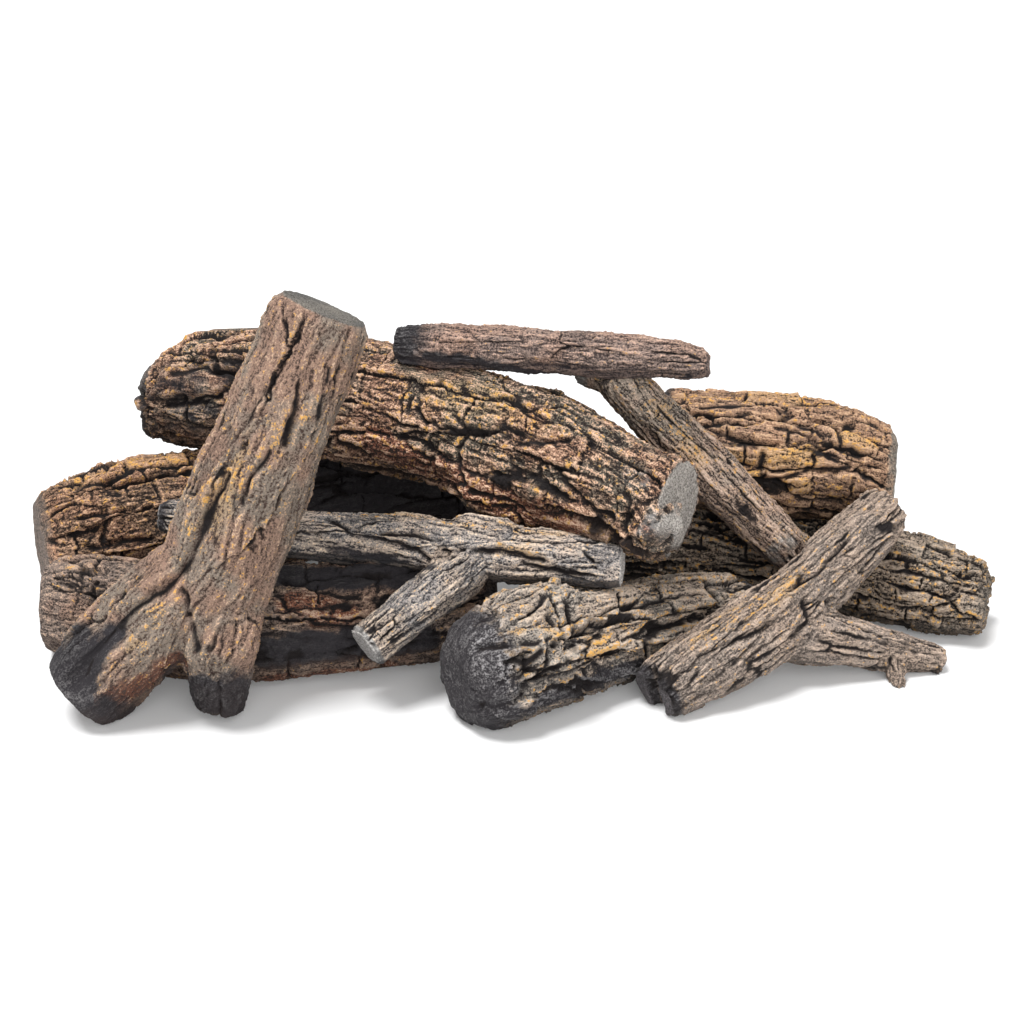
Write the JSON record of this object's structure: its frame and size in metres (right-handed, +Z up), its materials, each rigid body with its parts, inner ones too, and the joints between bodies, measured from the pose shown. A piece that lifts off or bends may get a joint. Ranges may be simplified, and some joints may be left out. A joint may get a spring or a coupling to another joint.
{
  "type": "gas log set",
  "caption": "Free-standing pile of loose cast refractory logs with bark relief: flat-bottomed base logs, crossing upper logs and twigs, and two forked logs leaning at the front.",
  "frame": {"origin": "on the hearth, under the middle of the front centre base log", "axes": "+X to the right along the hearth, +Y to the back of the fireplace, +Z up"},
  "size_m": [1.0241, 0.5374, 0.4079],
  "materials": {
    "plated_bark_grey": "painted porous cast refractory, matt",
    "plated_bark_golden": "painted porous cast refractory, matt",
    "plated_bark_brown": "painted porous cast refractory, matt",
    "ash_grey_bark": "painted porous cast refractory, matt",
    "ridged_bark_brown": "painted porous cast refractory, matt",
    "fine_bark_brown": "painted porous cast refractory, matt",
    "porous_bark_tan": "painted porous cast refractory, matt",
    "cast_in_rod": "plain steel rod"
  },
  "bodies": {
    "base_logs": {"front_centre_base_log": "plated_bark_grey", "front_centre_base_rod": "cast_in_rod", "right_base_log": "plated_bark_grey", "right_base_rod": "cast_in_rod", "rear_left_base_log": "plated_bark_golden", "rear_left_base_rod": "cast_in_rod", "front_left_base_log": "plated_bark_brown", "front_left_base_rod": "cast_in_rod"},
    "front_left_forked": {"front_left_forked_log": "porous_bark_tan", "front_left_forked_rod": "cast_in_rod"},
    "middle_twig": {"middle_forked_twig": "ash_grey_bark", "middle_forked_rod": "cast_in_rod"},
    "upper_long": {"upper_long_log": "ridged_bark_brown", "upper_long_rod": "cast_in_rod"},
    "diagonal": {"diagonal_twig": "fine_bark_brown", "diagonal_rod": "cast_in_rod"},
    "top_small": {"top_small_log": "fine_bark_brown", "top_small_rod": "cast_in_rod"},
    "rear_right": {"rear_right_plated_log": "plated_bark_golden", "rear_right_plated_rod": "cast_in_rod"},
    "front_right_forked": {"front_right_forked_log": "fine_bark_brown", "front_right_forked_rod": "cast_in_rod"}
  },
  "joints": [
    {"name": "fork_lift", "type": "slide", "parent": "base_logs", "child": "front_left_forked", "axis": [0, -0.5, 0.866], "range_m": [0, 0.25]},
    {"name": "twig_lift", "type": "slide", "parent": "base_logs", "child": "middle_twig", "axis": [0, 0, 1], "range_m": [0, 0.1]},
    {"name": "upper_lift", "type": "slide", "parent": "middle_twig", "child": "upper_long", "axis": [0, 0, 1], "range_m": [0, 0.15]},
    {"name": "diagonal_lift", "type": "slide", "parent": "upper_long", "child": "diagonal", "axis": [0, 0, 1], "range_m": [0, 0.15]},
    {"name": "top_lift", "type": "slide", "parent": "diagonal", "child": "top_small", "axis": [0, 0, 1], "range_m": [0, 0.15]},
    {"name": "rear_right_lift", "type": "slide", "parent": "base_logs", "child": "rear_right", "axis": [0, 0.9397, 0.342], "range_m": [0, 0.25]},
    {"name": "prop_lift", "type": "slide", "parent": "base_logs", "child": "front_right_forked", "axis": [0, -0.6, 0.8], "range_m": [0, 0.25]}
  ]
}
